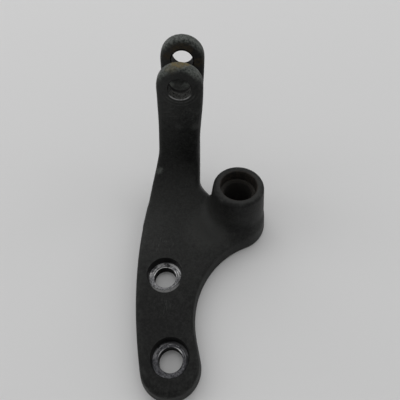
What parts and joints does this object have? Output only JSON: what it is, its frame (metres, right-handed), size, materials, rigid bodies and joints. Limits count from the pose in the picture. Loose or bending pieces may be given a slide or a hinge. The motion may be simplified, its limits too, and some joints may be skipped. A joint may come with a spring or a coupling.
{
  "type": "motorcycle footrest hanger",
  "caption": "Cast iron motorcycle footrest hanger: counterbored mounting plate with a tall stepped-bore boss, turning up through a bend into an arm that ends in a clevis for the footrest.",
  "frame": {"origin": "on the machined back of the plate, midway between the two bolt holes", "axes": "+Z out of the plate, parallel to the boss axis; +Y parallel to the clevis pin, towards the arm; +X towards the boss side"},
  "size_m": [0.0687, 0.1398, 0.0894],
  "materials": {
    "painted_casting": "worn satin black paint on cast iron, bare metal in the counterbores, light rust in the boss bore and on the clevis"
  },
  "bodies": {
    "root": {"hanger_casting": "painted_casting"}
  },
  "joints": []
}
